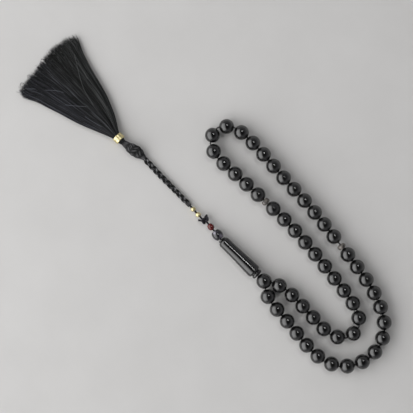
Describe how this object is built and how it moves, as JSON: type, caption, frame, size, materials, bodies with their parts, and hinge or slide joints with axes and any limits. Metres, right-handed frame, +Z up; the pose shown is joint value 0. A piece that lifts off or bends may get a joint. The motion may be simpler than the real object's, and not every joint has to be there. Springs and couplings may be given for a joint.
{
  "type": "prayer beads",
  "caption": "Loop of round glossy black beads on a string with flat separators, a long turned leader bead, small red and gold beads, a braided cord and a fanned tassel.",
  "frame": {"origin": "on the surface that the object lies on, straight under the end bead where the loop's two strands meet", "axes": "+X from the tassel through the imame towards the loop's closed end; +Z up from the surface; +Y to the side on which the loop is folded back"},
  "size_m": [0.2384, 0.0726, 0.0082],
  "materials": {
    "black_stone": "polished to a high gloss",
    "grey_stone": "polished, slightly metallic",
    "red_glass": "glossy",
    "gold_metal": "polished gold plate",
    "black_string": "twisted thread",
    "black_braid": "braided rayon cord",
    "tassel_thread": "fine rayon threads with a soft sheen"
  },
  "bodies": {
    "loop": {"loop_string": "black_string", "end_bead": "black_stone"},
    "imame_group": {"imame_string": "black_string", "string_knot": "black_string"},
    "imame": {"imame": "black_stone"},
    "top_bead": {"top_bead": "grey_stone"},
    "red_bead": {"red_bead": "red_glass"},
    "tail": {"tail_thread": "black_string", "braid": "black_braid"},
    "gold_beads": {"gold_beads": "gold_metal"},
    "tassel_group": {"braid_knot": "black_braid", "collar": "gold_metal", "tassel": "tassel_thread"},
    "bead_01": {"bead_01": "black_stone"},
    "bead_02": {"bead_02": "black_stone"},
    "bead_03": {"bead_03": "black_stone"},
    "bead_04": {"bead_04": "black_stone"},
    "bead_05": {"bead_05": "black_stone"},
    "bead_06": {"bead_06": "black_stone"},
    "bead_07": {"bead_07": "black_stone"},
    "bead_08": {"bead_08": "black_stone"},
    "bead_09": {"bead_09": "black_stone"},
    "bead_10": {"bead_10": "black_stone"},
    "bead_11": {"bead_11": "black_stone"},
    "bead_12": {"bead_12": "black_stone"},
    "beads_13_14": {"beads_13_14": "black_stone"},
    "beads_15_16": {"beads_15_16": "black_stone"},
    "bead_17": {"bead_17": "black_stone"},
    "separator_1": {"separator_1": "black_stone"},
    "bead_18": {"bead_18": "black_stone"},
    "bead_19": {"bead_19": "black_stone"},
    "bead_20": {"bead_20": "black_stone"},
    "bead_21": {"bead_21": "black_stone"},
    "bead_22": {"bead_22": "black_stone"},
    "bead_23": {"bead_23": "black_stone"},
    "bead_24": {"bead_24": "black_stone"},
    "bead_25": {"bead_25": "black_stone"},
    "bead_26": {"bead_26": "black_stone"},
    "bead_27": {"bead_27": "black_stone"},
    "bead_28": {"bead_28": "black_stone"},
    "bead_29": {"bead_29": "black_stone"},
    "beads_30_31": {"beads_30_31": "black_stone"},
    "beads_32_33": {"beads_32_33": "black_stone"},
    "bead_34": {"bead_34": "black_stone"},
    "separator_2": {"separator_2": "black_stone"},
    "bead_35": {"bead_35": "black_stone"},
    "bead_36": {"bead_36": "black_stone"},
    "bead_37": {"bead_37": "black_stone"},
    "bead_38": {"bead_38": "black_stone"},
    "bead_39": {"bead_39": "black_stone"},
    "bead_40": {"bead_40": "black_stone"},
    "bead_41": {"bead_41": "black_stone"},
    "bead_42": {"bead_42": "black_stone"},
    "bead_43": {"bead_43": "black_stone"},
    "bead_44": {"bead_44": "black_stone"},
    "bead_45": {"bead_45": "black_stone"},
    "bead_46": {"bead_46": "black_stone"},
    "beads_47_48": {"beads_47_48": "black_stone"},
    "beads_49_50": {"beads_49_50": "black_stone"},
    "bead_51": {"bead_51": "black_stone"}
  },
  "joints": [
    {"name": "imame_swing", "type": "hinge", "parent": "loop", "child": "imame_group", "pos_m": [-0.00425, 0, 0.00388], "axis": [0, 0, 1], "range_deg": [-10, 20]},
    {"name": "tail_swing", "type": "hinge", "parent": "imame_group", "child": "tail", "pos_m": [-0.0451, 0.0015, 0.00274], "axis": [0, 0, 1], "range_deg": [-18, 75]},
    {"name": "tassel_swing", "type": "hinge", "parent": "tail", "child": "tassel_group", "pos_m": [-0.0921, 0.0024, 0.00175], "axis": [0, 0, 1], "range_deg": [-30, 30]},
    {"name": "imame_spin", "type": "hinge", "parent": "imame_group", "child": "imame", "pos_m": [-0.01799, 0, 0.0035], "axis": [-0.9996, 0, -0.0279], "continuous": true},
    {"name": "top_bead_spin", "type": "hinge", "parent": "imame_group", "child": "top_bead", "pos_m": [-0.03477, 0.00032, 0.00303], "axis": [-0.9932, 0.1132, -0.0279], "continuous": true},
    {"name": "red_bead_spin", "type": "hinge", "parent": "imame_group", "child": "red_bead", "pos_m": [-0.04028, 0.00095, 0.00287], "axis": [-0.9932, 0.1132, -0.0279], "continuous": true},
    {"name": "gold_beads_spin", "type": "hinge", "parent": "tail", "child": "gold_beads", "pos_m": [-0.05154, 0.00101, 0.00202], "axis": [-0.9919, 0.0626, -0.1106], "continuous": true},
    {"name": "bead_01_slide", "type": "slide", "parent": "loop", "child": "bead_01", "axis": [0.9657, 0.2598, 0], "range_m": [-0.00015, 0.00015]},
    {"name": "bead_02_slide", "type": "slide", "parent": "loop", "child": "bead_02", "axis": [1, -0.0073, 0], "range_m": [-0.00015, 0.00015]},
    {"name": "bead_03_slide", "type": "slide", "parent": "loop", "child": "bead_03", "axis": [0.9987, -0.0503, 0], "range_m": [-0.00015, 0.00015]},
    {"name": "bead_04_slide", "type": "slide", "parent": "loop", "child": "bead_04", "axis": [0.9983, -0.0574, 0], "range_m": [-0.00015, 0.00015]},
    {"name": "bead_05_slide", "type": "slide", "parent": "loop", "child": "bead_05", "axis": [0.9994, -0.0351, 0], "range_m": [-0.00015, 0.00015]},
    {"name": "bead_06_slide", "type": "slide", "parent": "loop", "child": "bead_06", "axis": [0.876, 0.4824, 0], "range_m": [-0.00015, 0.00015]},
    {"name": "bead_07_slide", "type": "slide", "parent": "loop", "child": "bead_07", "axis": [0.0927, 0.9957, 0], "range_m": [-0.00015, 0.00015]},
    {"name": "bead_08_slide", "type": "slide", "parent": "loop", "child": "bead_08", "axis": [-0.8233, 0.5676, 0], "range_m": [-0.00015, 0.00015]},
    {"name": "bead_09_slide", "type": "slide", "parent": "loop", "child": "bead_09", "axis": [-0.9752, 0.2213, 0], "range_m": [-0.00015, 0.00015]},
    {"name": "bead_10_slide", "type": "slide", "parent": "loop", "child": "bead_10", "axis": [-0.9891, 0.1475, 0], "range_m": [-0.00015, 0.00015]},
    {"name": "bead_11_slide", "type": "slide", "parent": "loop", "child": "bead_11", "axis": [-0.9913, 0.1319, 0], "range_m": [-0.00015, 0.00015]},
    {"name": "bead_12_slide", "type": "slide", "parent": "loop", "child": "bead_12", "axis": [-0.992, 0.1266, 0], "range_m": [-0.00015, 0.00015]},
    {"name": "beads_13_14_slide", "type": "slide", "parent": "loop", "child": "beads_13_14", "axis": [-0.9946, 0.1037, 0], "range_m": [-0.00015, 0.00015]},
    {"name": "beads_15_16_slide", "type": "slide", "parent": "loop", "child": "beads_15_16", "axis": [-0.9992, 0.0392, 0], "range_m": [-0.00015, 0.00015]},
    {"name": "bead_17_slide", "type": "slide", "parent": "loop", "child": "bead_17", "axis": [-0.9999, -0.0154, 0], "range_m": [-0.00015, 0.00015]},
    {"name": "separator_1_slide", "type": "slide", "parent": "loop", "child": "separator_1", "axis": [-0.9995, -0.0324, 0], "range_m": [-0.00015, 0.00015]},
    {"name": "bead_18_slide", "type": "slide", "parent": "loop", "child": "bead_18", "axis": [-0.9993, -0.0374, 0], "range_m": [-0.00015, 0.00015]},
    {"name": "bead_19_slide", "type": "slide", "parent": "loop", "child": "bead_19", "axis": [-0.9996, -0.0297, 0], "range_m": [-0.00015, 0.00015]},
    {"name": "bead_20_slide", "type": "slide", "parent": "loop", "child": "bead_20", "axis": [-0.9994, -0.0334, 0], "range_m": [-0.00015, 0.00015]},
    {"name": "bead_21_slide", "type": "slide", "parent": "loop", "child": "bead_21", "axis": [-0.9989, -0.0464, 0], "range_m": [-0.00015, 0.00015]},
    {"name": "bead_22_slide", "type": "slide", "parent": "loop", "child": "bead_22", "axis": [-0.9642, 0.2653, 0], "range_m": [-0.00015, 0.00015]},
    {"name": "bead_23_slide", "type": "slide", "parent": "loop", "child": "bead_23", "axis": [-0.3738, 0.9275, 0], "range_m": [-0.00015, 0.00015]},
    {"name": "bead_24_slide", "type": "slide", "parent": "loop", "child": "bead_24", "axis": [0.767, 0.6417, 0], "range_m": [-0.00015, 0.00015]},
    {"name": "bead_25_slide", "type": "slide", "parent": "loop", "child": "bead_25", "axis": [0.9973, 0.0733, 0], "range_m": [-0.00015, 0.00015]},
    {"name": "bead_26_slide", "type": "slide", "parent": "loop", "child": "bead_26", "axis": [0.9999, -0.0164, 0], "range_m": [-0.00015, 0.00015]},
    {"name": "bead_27_slide", "type": "slide", "parent": "loop", "child": "bead_27", "axis": [0.9968, -0.0797, 0], "range_m": [-0.00015, 0.00015]},
    {"name": "bead_28_slide", "type": "slide", "parent": "loop", "child": "bead_28", "axis": [0.9946, -0.1042, 0], "range_m": [-0.00015, 0.00015]},
    {"name": "bead_29_slide", "type": "slide", "parent": "loop", "child": "bead_29", "axis": [0.9975, -0.0712, 0], "range_m": [-0.00015, 0.00015]},
    {"name": "beads_30_31_slide", "type": "slide", "parent": "loop", "child": "beads_30_31", "axis": [0.9983, -0.0576, 0], "range_m": [-0.00015, 0.00015]},
    {"name": "beads_32_33_slide", "type": "slide", "parent": "loop", "child": "beads_32_33", "axis": [0.9926, -0.1211, 0], "range_m": [-0.00015, 0.00015]},
    {"name": "bead_34_slide", "type": "slide", "parent": "loop", "child": "bead_34", "axis": [0.9914, -0.1305, 0], "range_m": [-0.00015, 0.00015]},
    {"name": "separator_2_slide", "type": "slide", "parent": "loop", "child": "separator_2", "axis": [0.9908, -0.1356, 0], "range_m": [-0.0011, 0.00015]},
    {"name": "bead_35_slide", "type": "slide", "parent": "loop", "child": "bead_35", "axis": [0.9897, -0.143, 0], "range_m": [-0.00015, 0.00015]},
    {"name": "bead_36_slide", "type": "slide", "parent": "loop", "child": "bead_36", "axis": [0.9866, -0.163, 0], "range_m": [-0.00015, 0.00015]},
    {"name": "bead_37_slide", "type": "slide", "parent": "loop", "child": "bead_37", "axis": [0.9799, -0.1996, 0], "range_m": [-0.00015, 0.00015]},
    {"name": "bead_38_slide", "type": "slide", "parent": "loop", "child": "bead_38", "axis": [0.9513, -0.3083, 0], "range_m": [-0.00015, 0.00015]},
    {"name": "bead_39_slide", "type": "slide", "parent": "loop", "child": "bead_39", "axis": [0.9035, -0.4287, 0], "range_m": [-0.00015, 0.00015]},
    {"name": "bead_40_slide", "type": "slide", "parent": "loop", "child": "bead_40", "axis": [0.7679, -0.6406, 0], "range_m": [-0.00015, 0.00015]},
    {"name": "bead_41_slide", "type": "slide", "parent": "loop", "child": "bead_41", "axis": [0.4508, -0.8926, 0], "range_m": [-0.00015, 0.00015]},
    {"name": "bead_42_slide", "type": "slide", "parent": "loop", "child": "bead_42", "axis": [0.061, -0.9981, 0], "range_m": [-0.00015, 0.00015]},
    {"name": "bead_43_slide", "type": "slide", "parent": "loop", "child": "bead_43", "axis": [-0.3311, -0.9436, 0], "range_m": [-0.00015, 0.00015]},
    {"name": "bead_44_slide", "type": "slide", "parent": "loop", "child": "bead_44", "axis": [-0.6495, -0.7603, 0], "range_m": [-0.00015, 0.00015]},
    {"name": "bead_45_slide", "type": "slide", "parent": "loop", "child": "bead_45", "axis": [-0.9096, -0.4155, 0], "range_m": [-0.00015, 0.00015]},
    {"name": "bead_46_slide", "type": "slide", "parent": "loop", "child": "bead_46", "axis": [-0.9976, -0.069, 0], "range_m": [-0.00015, 0.00015]},
    {"name": "beads_47_48_slide", "type": "slide", "parent": "loop", "child": "beads_47_48", "axis": [-0.9941, 0.1081, 0], "range_m": [-0.00015, 0.00015]},
    {"name": "beads_49_50_slide", "type": "slide", "parent": "loop", "child": "beads_49_50", "axis": [-0.996, 0.0898, 0], "range_m": [-0.00015, 0.00015]},
    {"name": "bead_51_slide", "type": "slide", "parent": "loop", "child": "bead_51", "axis": [-0.9553, 0.2955, 0], "range_m": [-0.00015, 0.00015]}
  ]
}
